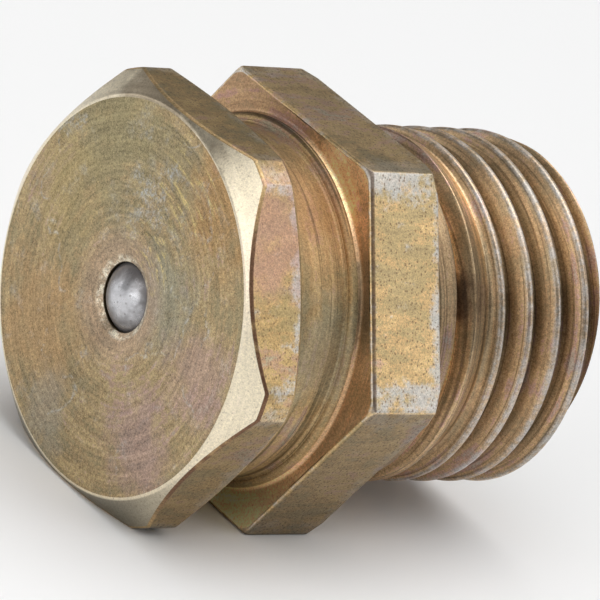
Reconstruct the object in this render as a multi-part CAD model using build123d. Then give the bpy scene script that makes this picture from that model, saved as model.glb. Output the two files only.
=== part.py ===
from build123d import *
import math
import os

# Flat grease nipple, button-head pattern, M10 x 1, turned from 11 mm hexagon bar.
# Lengths are in millimetres and angles in degrees. Each piece is built along Z, from
# the front face of the head back to the threaded end, and is then laid on one pair of
# hexagon flats: the head points to -X, the thread to +X, and +Z is the flat on top.
# The origin is on the thread axis, in the face that seats on the machine.

# Hexagon bar
across_flats = 11.0
flats = 6

# Lengths along the axis, from the front face back
head_thickness = 1.80          # front face to the back edge of a head flat
neck_length = 2.05             # coupler groove behind the head
step_length = 0.29             # low turned step in front of the spanner hexagon
hexagon_thickness = 2.37
shank_length = 1.11            # plain land under the hexagon
relief_width = 0.68            # thread relief, with its run-out
threaded_length = 4.70

# Head
face_diameter = 10.74          # flat front face, inside the front bevel
head_corner_diameter = 12.27   # the bar's corners are turned down to this
front_bevel_angle = 37.7       # from the plane of the front face
back_bevel_angle = 22.0        # from the plane of the head's back
dish_diameter = 3.4            # shallow peened dish round the grease hole
dish_depth = 0.09
rim_diameter = 2.3             # broken edge of the grease hole
rim_depth = 0.10

# Coupler groove and the step behind it
neck_diameter = 9.66
neck_fillet = 0.25
second_cut_diameter = 9.58     # the grooving tool's second cut
second_cut_length = 0.54
second_cut_fillet = 0.04
step_diameter = 10.14
step_edge_radius = 0.22

# Spanner hexagon
front_corner_diameter = 12.34  # the hexagon's front corners are broken from here
front_corner_length = 0.08
back_bevel_diameter = 12.00    # the hexagon's back corners are bevelled from here
back_bevel_slope = 30.0        # from the plane of the seat

# Thread M10 x 1
thread_diameter = 9.80         # over the crests
thread_pitch = 1.0
thread_depth = 0.60
thread_flank_angle = 30.0
thread_root_flat = 0.17
thread_phase = 316.0           # where the groove starts, round the axis
run_out_start = 0.03           # depth of the groove where it leaves the relief
run_out_length = 1.40          # the groove deepens over this length
relief_diameter = 8.60
relief_fillet = 0.12
end_bevel = 0.31

# Grease way, ball seat and spring chamber
grease_hole_diameter = 1.90
seat_half_angle = 30.0
chamber_diameter = 3.0
end_recess_diameter = 6.8
end_recess_depth = 1.0
collar_wall = 0.50             # thin collar round the end of the chamber
collar_set_back = 0.25         # from the threaded end to the collar's end
collar_roll_radius = 0.35
lip_thickness = 0.32           # the collar's edge, rolled in over the spring
lip_opening_diameter = 1.9

# Ball and spring
ball_diameter = 2.50
ball_stand_out = 0.12          # crown of the ball in front of the face
seat_clearance = 0.01          # ball to seat, and ball to spring
wire_diameter = 0.30
spring_diameter = 2.40         # over the coils
spring_active_turns = 7.5
spring_closed_turns = 1.0      # at each end
coil_gap = 0.02                # between the closed turns
spring_end_clearance = 0.02

# Working allowances, which leave no mark on the part
overrun = 1.0                  # how far a cut runs out past the metal
crest_allowance = 0.06         # how far the thread cut stands out of the crests
coil_points = 12               # points that guide each turn of the spring
sharp = 0.0

# Stations along the axis, measured from the front face
step_front = head_thickness + neck_length
hexagon_front = step_front + step_length
seat_face = hexagon_front + hexagon_thickness
relief_front = seat_face + shank_length
thread_front = relief_front + relief_width
end_face = thread_front + threaded_length
collar_end = end_face - collar_set_back
lip_inner_face = collar_end - lip_thickness

# Radii, and the places that follow from the ball
flat_radius = across_flats / 2
bar_corner_radius = flat_radius / math.cos(math.pi / flats)
crest_radius = thread_diameter / 2
chamber_radius = chamber_diameter / 2
hole_radius = grease_hole_diameter / 2
ball_radius = ball_diameter / 2
ball_centre = ball_radius - ball_stand_out


def slope(angle):
    """Rise per unit run of a line at this angle."""
    return math.tan(math.radians(angle))


def turned(outline):
    """Revolve a closed outline of (radius, station, fillet) corners about the axis."""
    corners = [(radius, 0, station) for radius, station, fillet_radius in outline]
    fillets = [fillet_radius for radius, station, fillet_radius in outline]
    return revolve(make_face(FilletPolyline(*corners, radius=fillets, close=True)), Axis.Z)


def drilled(outline):
    """Revolve a closed outline of sharp (radius, station) corners about the axis."""
    return turned([(radius, station, sharp) for radius, station in outline])


def hexagon_bar():
    """The bar that the body is turned from, with one flat towards +X."""
    half_a_flat = 180 / flats
    section = RegularPolygon(flat_radius, flats, major_radius=False, rotation=half_a_flat)
    return extrude(section, seat_face)


def head_outline():
    """Bevelled head, its corners turned round, down to the coupler groove."""
    face = face_diameter / 2
    corner = head_corner_diameter / 2
    neck = neck_diameter / 2
    front_edge = (corner - face) * slope(front_bevel_angle)
    back_edge = head_thickness - (corner - flat_radius) * slope(back_bevel_angle)
    neck_edge = head_thickness + (flat_radius - neck) * slope(back_bevel_angle)
    return [
        (0, 0, sharp),
        (face, 0, sharp),
        (corner, front_edge, sharp),
        (corner, back_edge, sharp),
        (neck, neck_edge, neck_fillet),
    ]


def groove_outline():
    """Coupler groove in two cuts, and the low step behind it."""
    neck = neck_diameter / 2
    second_cut = second_cut_diameter / 2
    second_cut_front = step_front - second_cut_length
    step = step_diameter / 2
    return [
        (neck, second_cut_front, sharp),
        (second_cut, second_cut_front, sharp),
        (second_cut, step_front, second_cut_fillet),
        (step, step_front, step_edge_radius),
        (step, hexagon_front, sharp),
    ]


def hexagon_outline():
    """Spanner hexagon: front corners broken, low bevel at the back."""
    broken = front_corner_diameter / 2
    clear_of_bar = bar_corner_radius + overrun
    corner_slope = front_corner_length / (bar_corner_radius - broken)
    bevel = back_bevel_diameter / 2
    return [
        (broken, hexagon_front, sharp),
        (clear_of_bar, hexagon_front + (clear_of_bar - broken) * corner_slope, sharp),
        (clear_of_bar, seat_face - (clear_of_bar - bevel) * slope(back_bevel_slope), sharp),
        (bevel, seat_face, sharp),
        (0, seat_face, sharp),
    ]


def land_outline():
    """Plain land between the seat and the thread relief."""
    return [
        (0, seat_face, sharp),
        (crest_radius, seat_face, sharp),
        (crest_radius, relief_front, sharp),
        (0, relief_front, sharp),
    ]


def thread_outline():
    """Thread relief and the bevelled stock for the thread."""
    relief = relief_diameter / 2
    run_out = (crest_radius - relief) * slope(thread_flank_angle)
    return [
        (0, relief_front, sharp),
        (relief, relief_front, sharp),
        (relief, thread_front - run_out, relief_fillet),
        (crest_radius, thread_front, sharp),
        (crest_radius, end_face - end_bevel, sharp),
        (crest_radius - end_bevel, end_face, sharp),
        (0, end_face, sharp),
    ]


def thread_turn():
    """One turn of the V groove, right-hand, cut a little proud of the crests."""
    root_half = thread_root_flat / 2
    reach = thread_depth + crest_allowance
    mouth_half = root_half + reach * slope(thread_flank_angle)
    path = Helix(thread_pitch, thread_pitch, crest_radius - thread_depth)
    across_path = Plane(origin=path @ 0, x_dir=(1, 0, 0), z_dir=path % 0)
    section = Polyline(
        (0, -root_half),
        (reach, -mouth_half),
        (reach, mouth_half),
        (0, root_half),
        close=True,
    )
    return sweep(across_path * make_face(section), path=path, is_frenet=True)


def run_out_outline():
    """Where the groove doesn't reach: the relief, and a cone over its first turn."""
    clear_of_crests = crest_radius + overrun
    return [
        (0, relief_front),
        (clear_of_crests, relief_front),
        (clear_of_crests, thread_front),
        (crest_radius - run_out_start, thread_front),
        (crest_radius - thread_depth - crest_allowance, thread_front + run_out_length),
        (0, thread_front + run_out_length),
    ]


def thread_groove():
    """The groove turn by turn, shallow behind the relief and out past the threaded end."""
    start = relief_front + relief_width / 2
    turns = math.ceil((end_face + thread_pitch / 2 - start) / thread_pitch)
    turn = Rot(0, 0, thread_phase) * thread_turn()
    run_out = drilled(run_out_outline())
    return [Pos(0, 0, start + count * thread_pitch) * turn - run_out for count in range(turns)]


def grease_way():
    """Dish, hole, ball seat, spring chamber and the opening in the rolled lip."""
    dish = dish_diameter / 2
    rim = rim_diameter / 2
    lip_opening = lip_opening_diameter / 2
    seat_reach = (ball_radius + seat_clearance) / math.cos(math.radians(seat_half_angle))
    seat_front = ball_centre - (seat_reach - hole_radius) / slope(seat_half_angle)
    chamber_front = seat_front + (chamber_radius - hole_radius) / slope(seat_half_angle)
    return drilled(
        [
            (0, -overrun),
            (dish, -overrun),
            (dish, 0),
            (rim, dish_depth),
            (hole_radius, dish_depth + rim_depth),
            (hole_radius, seat_front),
            (chamber_radius, chamber_front),
            (chamber_radius, lip_inner_face),
            (lip_opening, lip_inner_face),
            (lip_opening, end_face + overrun),
            (0, end_face + overrun),
        ]
    )


def end_recess():
    """Recess in the threaded end that leaves the thin collar with its rolled edge."""
    outer = end_recess_diameter / 2
    collar = chamber_radius + collar_wall
    floor = end_face - end_recess_depth
    return turned(
        [
            (0, collar_end, sharp),
            (collar, collar_end, collar_roll_radius),
            (collar, floor, sharp),
            (outer, floor, sharp),
            (outer, end_face + overrun, sharp),
            (0, end_face + overrun, sharp),
        ]
    )


def nipple_body():
    """The body, one piece turned from the bar, threaded and bored."""
    head_and_hexagon = turned(head_outline() + groove_outline() + hexagon_outline()) & hexagon_bar()
    threaded_end = turned(thread_outline()) - thread_groove()
    solid_body = head_and_hexagon + turned(land_outline()) + threaded_end
    return solid_body - grease_way() - end_recess()


def check_ball():
    """Ball that closes the grease hole from inside."""
    return Pos(0, 0, ball_centre) * Sphere(ball_radius)


def coil_station(turn, length):
    """How far along a spring of this length a turn lies, with closed end coils."""
    closed_pitch = wire_diameter + coil_gap
    open_pitch = (length - 2 * spring_closed_turns * closed_pitch) / spring_active_turns
    front_turns = min(turn, spring_closed_turns)
    open_turns = min(max(turn - spring_closed_turns, 0), spring_active_turns)
    back_turns = turn - front_turns - open_turns
    return (front_turns + back_turns) * closed_pitch + open_turns * open_pitch


def ball_spring():
    """Compression spring between the ball and the rolled lip."""
    wire_radius = wire_diameter / 2
    coil_radius = spring_diameter / 2 - wire_radius
    reach = ball_radius + wire_radius + seat_clearance
    front = ball_centre + math.sqrt(reach ** 2 - coil_radius ** 2)
    back = lip_inner_face - wire_radius - spring_end_clearance
    turns = spring_active_turns + 2 * spring_closed_turns
    guide = []
    for point in range(round(turns * coil_points) + 1):
        turn = point / coil_points
        angle = 2 * math.pi * turn
        station = front + coil_station(turn, back - front)
        guide.append((coil_radius * math.cos(angle), coil_radius * math.sin(angle), station))
    path = Spline(*guide)
    section = Plane(origin=path @ 0, z_dir=path % 0) * Circle(wire_radius)
    return sweep(section, path=path, is_frenet=True)


def laid_down(piece):
    """Bring a piece from the turning axis Z to its place on the hexagon flats."""
    return Rot(0, 90, 0) * Pos(0, 0, -seat_face) * piece


os.makedirs("parts", exist_ok=True)
for name, piece in [
    ("nipple_body", nipple_body()),
    ("check_ball", check_ball()),
    ("ball_spring", ball_spring()),
]:
    export_step(laid_down(piece), f"parts/{name}.step")
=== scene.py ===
"""Flat grease nipple: plated body, check ball and spring, on a plain pale floor."""

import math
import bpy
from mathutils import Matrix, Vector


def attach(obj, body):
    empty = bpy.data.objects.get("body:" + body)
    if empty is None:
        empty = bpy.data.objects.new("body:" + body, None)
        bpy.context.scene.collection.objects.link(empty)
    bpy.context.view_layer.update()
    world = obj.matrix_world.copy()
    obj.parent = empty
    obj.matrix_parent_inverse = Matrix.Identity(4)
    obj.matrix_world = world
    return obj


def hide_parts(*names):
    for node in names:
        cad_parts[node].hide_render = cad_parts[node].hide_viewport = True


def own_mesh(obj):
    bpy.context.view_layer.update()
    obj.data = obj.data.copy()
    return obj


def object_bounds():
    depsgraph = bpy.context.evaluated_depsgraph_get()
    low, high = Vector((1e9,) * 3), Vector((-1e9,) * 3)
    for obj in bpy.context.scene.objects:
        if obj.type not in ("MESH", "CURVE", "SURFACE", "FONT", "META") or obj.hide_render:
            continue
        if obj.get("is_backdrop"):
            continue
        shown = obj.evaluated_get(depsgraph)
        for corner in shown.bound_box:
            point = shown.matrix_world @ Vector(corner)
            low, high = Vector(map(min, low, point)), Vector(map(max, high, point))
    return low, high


bl_info = {
    "name": "Flat Grease Nipple",
    "version": (1, 0, 0),
    "blender": (4, 5, 0),
    "location": "3D View > Sidebar > Nipple",
    "description": "Builds a flat grease nipple with its check ball, spring and studio",
    "category": "Mesh",
}

import bpy
from bpy.props import FloatProperty, FloatVectorProperty, PointerProperty
from mathutils import Matrix, Vector

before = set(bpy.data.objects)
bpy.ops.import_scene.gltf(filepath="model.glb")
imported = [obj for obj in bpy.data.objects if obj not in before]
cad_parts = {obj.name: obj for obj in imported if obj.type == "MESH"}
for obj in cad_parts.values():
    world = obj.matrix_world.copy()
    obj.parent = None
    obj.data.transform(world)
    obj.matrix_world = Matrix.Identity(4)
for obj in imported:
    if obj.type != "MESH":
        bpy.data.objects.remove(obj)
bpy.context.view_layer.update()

MM = 0.001
FULL_TURN = 2 * math.pi
HALF_SIDE = math.pi / 6

# Head, in millimetres and degrees; ROWS are places where rows of the mesh run
FRONT_BEVEL_ANGLE = 37.7
BACK_BEVEL_ANGLE = 22.0
DISH_RADIUS = 1.70
DISH_DEPTH = 0.09
RIM_RADIUS = 1.15
RIM_DEPTH = 0.10
CORNER_BLEND = 0.03
RIM_EDGE = 0.03
DISH_FILLET = 0.05
DISH_EDGE = 0.30
FACE_EDGE = 0.16
FACE_ROWS = (2.2, 2.8, 3.4, 4.0, 4.6, 5.05)

# Neck and step, with the fine line that the grooving tool leaves
NECK_FILLET = 0.25
NECK_ROWS = (2.6, 2.95, 3.2)
SECOND_CUT_FRONT = 3.31
SECOND_CUT_RADIUS = 4.79
SECOND_CUT_ROWS = (3.45, 3.6)
SECOND_CUT_FILLET = 0.09
TOOL_LINE_DEPTH = 0.03
TOOL_LINE_FRONT_ANGLE = 40
TOOL_LINE_BACK_ANGLE = 125
TOOL_LINE_EDGES = (0.03, 0.006, 0.015)
STEP_RADIUS = 5.07
STEP_LENGTH = 0.29
STEP_EDGE = 0.22
STEP_FILLET = 0.10

# Spanner hexagon
BROKEN_CORNER_RADIUS = 6.17
BROKEN_CORNER_LENGTH = 0.08
BACK_BEVEL_RADIUS = 6.0
HEXAGON_BACK_ANGLE = 30.0
HEXAGON_FRONT_MARGIN = 0.42
HEXAGON_BACK_MARGIN = 0.30
SEAT_ROWS = (5.25, 5.08)
SEAT_FILLET = 0.05

# Land, relief and thread
SHANK_LENGTH = 1.11
RELIEF_WIDTH = 0.68
RELIEF_RADIUS = 4.30
RELIEF_EDGE = 0.04
RELIEF_FILLET = 0.12
THREAD_DEPTH = 0.60
FLANK_ANGLE = 30.0
ROOT_HALF_FLAT = 0.085
ROOT_STATION = 9.75
ROOT_ANGLE = -60.0
RUN_OUT_START_DEPTH = 0.03
RUN_OUT_LENGTH = 1.40
END_BEVEL = 0.31
ROOT_ROUNDING = 0.10
CREST_ROUNDING = 0.07
THREAD_END_BLEND = 0.05

# Grease way
HOLE_RADIUS = 0.95
SEAT_START = 0.275
CHAMBER_START = 1.228
CHAMBER_RADIUS = 1.50
RECESS_RADIUS = 3.40
RECESS_DEPTH = 1.00
COLLAR_RADIUS = 2.00
COLLAR_SET_BACK = 0.25
COLLAR_ROLL = 0.35
LIP_THICKNESS = 0.32
LIP_EDGE = 0.04
LIP_MOUTH = 0.06
RECESS_EDGE = 0.05
RECESS_FILLET = 0.08
END_ROWS = (4.2, 3.9, 3.6)
CHAMBER_ROWS = (9.0, 5.0)

# Ball and spring
BALL_STAND_OUT = 0.12
SPRING_ACTIVE_TURNS = 7.5
SPRING_CLOSED_TURNS = 1.0
SPRING_CLEARANCE = 0.01

# Surface: relief and reach of the flats along the axis in millimetres, the rest as shares
SIDE_REACH = 5.5
PLATING_RELIEF = 0.006
STEEL_RELIEF = 0.010
HEAD_FLAT_ENDS = (-6.4, -4.71)
HEXAGON_ENDS = (-2.37, 0.0)
BLOOM_METAL = 0.35
STEEL_ROUGHNESS = 0.30
FLOOR_ROUGHNESS = 0.9
SCRATCH_WIDTH = 0.018

# Painted shade on surfaces that face down, painted shade on the tops of the flats and of the neck, and a
# painted highlight on the thread's top, as a share of the film's own colour
BEVEL_UNDERSIDE_PAINTED_SHADE = 0.32
HEAD_UNDERSIDE_PAINTED_SHADE = 0.46
HEXAGON_UNDERSIDE_PAINTED_SHADE = 0.32
FLAT_TOP_PAINTED_SHADE = 0.70
GROOVE_TOP_PAINTED_SHADE = 0.76
THREAD_TOP_PAINTED_HIGHLIGHT = 1.6

# Colours of the film as it thickens
FILM_STOPS = (
    (0.18, "olive"), (0.36, "khaki"), (0.48, "gold"), (0.60, "straw"), (0.72, "pink"), (0.86, "mist"))

# Soft patches of film, and of painted light and shade where marked: centre from the seat, reach, strength,
# colour and its tint
FACE_PATCHES = (
    ((0, 2.3, 4.1), 3.2, 0.65, "olive", (0.86, 0.88, 0.85)),
    ((0, -1.9, 1.0), 1.9, 0.75, "mist", (0.72, 0.73, 0.72)),
    ((0, -2.8, 4.1), 2.4, 0.75, "gold", (0.92, 0.74, 0.60)),
    ((0, -4.0, -0.3), 1.9, 0.65, "pink", (0.92, 0.90, 1.02)),
    ((0, -2.7, -3.1), 2.0, 0.60, "pink", (0.86, 0.84, 1.10)),
    ((0, 2.8, -2.2), 2.8, 0.70, "gold", (0.92, 0.80, 0.76)),
    ((0, 3.6, 1.4), 2.2, 0.60, "khaki", (0.95, 0.90, 0.80)),
    ((0, 1.4, -4.3), 1.6, 0.50, "mist", (0.85, 0.85, 0.95)),
)
# Bevel: a painted highlight on its upper -y side, and painted shade over its top
BEVEL_PAINTED_LIGHT_AND_SHADE_PATCHES = (
    ((-6.0, -4.4, 3.0), 1.8, 0.60, "cream", (1.15, 1.04, 1.02)),
    ((-6.2, 1.0, 5.6), 3.4, 0.85, "khaki", (0.70, 0.67, 0.84)),
)
HEAD_PATCHES = (((-5.4, -4.3, 4.1), 2.4, 0.65, "pink", (1.12, 0.93, 0.98)),)
GROOVE_PATCHES = (
    ((-3.4, -2.6, 4.2), 2.6, 0.60, "gold", (0.95, 0.72, 0.66)),
    ((-3.4, -4.6, 0.6), 2.2, 0.50, "mist", (1.08, 1.08, 1.04)),
)
# Land: painted shade in one spot of the relief, in the colour of the pits
LAND_PAINTED_SHADE_PATCHES = (((1.50, -3.8, 2.1), 1.1, 0.80, "pit", (0.5, 0.45, 0.5)),)

# Room: how bright it is toward one side and away from it, over this range of directions
ROOM_BRIGHT_SIDE = (0.5, 0.8, 0.3)
ROOM_BRIGHT_LEVEL = 0.26
ROOM_DARK_LEVEL = 0.08
ROOM_RANGE = (-0.6, 0.7)
FLOOR_REACH = 1.5

# Lamps: name, direction, and distance, width and height in metres, then radiance
SOFTBOXES = (
    ("right_softbox", (0.63, -0.65, 0.42), 0.35, 0.24, 0.24, 1.10),
    ("left_softbox", (-0.91, -0.12, 0.38), 0.35, 0.32, 0.27, 1.50),
    ("back_softbox", (-0.50, 0.84, 0.15), 0.35, 0.18, 0.09, 1.6),
    ("top_softbox", (0.10, -0.14, 1.0), 0.40, 0.56, 0.50, 2.05),
)

# Camera: its long lens, its axes, and the face centre as it sees it, in millimetres
CAMERA_LENS = 361.9
SENSOR_WIDTH = 36.0
CAMERA_CLIPS = (0.01, 10.0)
CAMERA_RIGHT = (0.77658, -0.55059, 0.30623)
CAMERA_BACK = (-0.62981, -0.69119, 0.35440)
FACE_FROM_CAMERA = (-4.7958, 0.0763, -159.968)


def in_mm(length):
    """A scene length, in millimetres."""
    return length / MM


def slope(angle):
    """Rise per unit run of a line at this angle in degrees."""
    return math.tan(math.radians(angle))


def smooth_min(first, second, width):
    """The lesser of two values, rounded where they cross."""
    overlap = max(width - abs(first - second), 0.0) / width
    return min(first, second) - overlap * overlap * width / 4


def smooth_max(first, second, width):
    """The greater of two values, rounded where they cross."""
    return -smooth_min(-first, -second, width)


# ---------------------------------------------------------------- user sizes


def size_of(name, description, default):
    """A size that the user can change, in metres."""
    return FloatProperty(name=name, description=description, default=default, unit="LENGTH")


class NippleSizes(bpy.types.PropertyGroup):
    """Sizes of the body, ball and spring."""

    across_flats: size_of("Across flats", "Width of both hexagons", 0.011)
    head_thickness: size_of("Head thickness", "Front face to the back edge of a head flat", 0.0018)
    face_diameter: size_of("Face diameter", "Flat front face inside its bevel", 0.01074)
    corner_diameter: size_of("Corner diameter", "Head over its turned corners", 0.01227)
    neck_diameter: size_of("Neck diameter", "Coupler groove behind the head", 0.00966)
    neck_length: size_of("Neck length", "Coupler groove, head to step", 0.00205)
    hexagon_thickness: size_of("Hexagon thickness", "Spanner hexagon, front to seat", 0.00237)
    thread_diameter: size_of("Thread diameter", "Over the crests", 0.0098)
    thread_pitch: size_of("Thread pitch", "Crest to crest", 0.001)
    threaded_length: size_of("Threaded length", "Relief to the threaded end", 0.0047)
    edge_rounding: size_of("Edge rounding", "Radius of the hexagon edges", 0.0001)
    ball_diameter: size_of("Ball diameter", "Check ball", 0.0025)
    wire_diameter: size_of("Wire diameter", "Ball spring's wire", 0.0003)
    spring_diameter: size_of("Spring diameter", "Ball spring over its coils", 0.0024)


class Stations:
    """Places along the axis, in millimetres from the front face."""

    def __init__(self, sizes):
        self.step_front = in_mm(sizes.head_thickness + sizes.neck_length)
        self.hexagon_front = self.step_front + STEP_LENGTH
        self.seat = self.hexagon_front + in_mm(sizes.hexagon_thickness)
        self.relief_front = self.seat + SHANK_LENGTH
        self.thread_front = self.relief_front + RELIEF_WIDTH
        self.end = self.thread_front + in_mm(sizes.threaded_length)
        self.collar_end = self.end - COLLAR_SET_BACK
        self.lip_inside = self.collar_end - LIP_THICKNESS


# ---------------------------------------------------------------- outlines


class Line:
    """A straight run of the turned outline, by its outward normal and its distance from the origin."""

    def __init__(self, angle, station, radius):
        self.angle = angle
        self.normal = (math.cos(math.radians(angle)), math.sin(math.radians(angle)))
        self.offset = self.normal[0] * station + self.normal[1] * radius


def crossing(first, second, inset):
    """Where two runs meet once both are moved inwards by the inset."""
    a, b = first.normal
    c, d = second.normal
    e = first.offset - inset
    f = second.offset - inset
    det = a * d - b * c
    return ((e * d - b * f) / det, (a * f - e * c) / det)


def rounded_edge(first, second, radius, steps, centre=None):
    """Points round the edge between two runs, outward or inward as they turn."""
    side = 1.0 if second.angle < first.angle else -1.0
    if centre is None:
        centre = crossing(first, second, side * radius)
    points = []
    for step in range(steps + 1):
        angle = math.radians(first.angle + (second.angle - first.angle) * step / steps)
        reach = side * radius
        points.append((centre[0] + reach * math.cos(angle), centre[1] + reach * math.sin(angle)))
    return points


def double_edge(first, middle, last, radius, steps):
    """Points round two neighbouring edges, one edge where the run between them is too short."""
    front = crossing(first, middle, radius)
    back = crossing(middle, last, radius)
    along = (middle.normal[1], -middle.normal[0])
    room = (back[0] - front[0]) * along[0] + (back[1] - front[1]) * along[1]
    if room < 0:
        front = back = crossing(first, last, radius)
    return (rounded_edge(first, middle, radius, steps, front)
            + rounded_edge(middle, last, radius, steps, back))


def from_flat(angle):
    """Angle round the axis from the middle of the nearest hexagon flat."""
    return (angle + HALF_SIDE) % (2 * HALF_SIDE) - HALF_SIDE


def bar_radius(angle, sizes, rounding):
    """Reach of the hexagon bar at an angle round the axis, its corners rounded."""
    flat = in_mm(sizes.across_flats) / 2
    aside = from_flat(angle)
    from_corner = HALF_SIDE - abs(aside)
    inner = flat - rounding
    centre = inner / math.cos(HALF_SIDE)
    if flat * math.tan(abs(aside)) <= inner * math.tan(HALF_SIDE):
        return flat / math.cos(aside)
    return centre * math.cos(from_corner) + math.sqrt(rounding ** 2 - (centre * math.sin(from_corner)) ** 2)


def head_radius(angle, sizes):
    """Reach of the head at an angle round the axis: hexagon flats between turned corners."""
    flat = in_mm(sizes.across_flats) / 2
    return smooth_min(flat / math.cos(from_flat(angle)), in_mm(sizes.corner_diameter) / 2, CORNER_BLEND)


def thread_radius(station, angle, sizes, place):
    """Reach of the threaded shank, from the relief's rise to the threaded end."""
    crest = in_mm(sizes.thread_diameter) / 2
    pitch = in_mm(sizes.thread_pitch)
    turn = (math.degrees(angle) - ROOT_ANGLE) / 360
    count = round((station - ROOT_STATION) / pitch + turn)
    root_station = ROOT_STATION + (count - turn) * pitch
    beside_root = max(abs(station - root_station) - ROOT_HALF_FLAT, 0.0)
    root = crest - THREAD_DEPTH
    groove = smooth_max(root + beside_root / slope(FLANK_ANGLE), root, ROOT_ROUNDING)
    run_out = min(max((station - place.thread_front) / RUN_OUT_LENGTH, 0), 1)
    uncut = crest - RUN_OUT_START_DEPTH - (THREAD_DEPTH - RUN_OUT_START_DEPTH) * run_out
    reach = smooth_min(smooth_max(groove, uncut, CREST_ROUNDING), crest, CREST_ROUNDING)
    rise = crest - (place.thread_front - station) / slope(FLANK_ANGLE)
    bevel = crest - (station - place.end + END_BEVEL)
    return smooth_min(smooth_min(reach, rise, THREAD_END_BLEND), bevel, THREAD_END_BLEND)


# ---------------------------------------------------------------- body mesh

FACE, BEVEL, EDGE, HEAD_FLAT, GROOVE, SHOULDER, HEXAGON, SHANK, BORE = range(9)


class Outline(list):
    """Rows of the turned outline at one angle: station, radius and finish."""

    def points(self, finish, points):
        self.extend((station, radius, finish) for station, radius in points)

    def edge(self, finish, first, second, radius, steps):
        self.points(finish, rounded_edge(first, second, radius, steps))

    def along(self, finish, radius, *stations):
        self.points(finish, [(station, radius) for station in stations])

    def across(self, finish, station, *radii):
        self.points(finish, [(station, radius) for radius in radii])


def dish_slope():
    """Angle between the dish and the face, in degrees."""
    return math.degrees(math.atan2(DISH_DEPTH, DISH_RADIUS - RIM_RADIUS))


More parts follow.
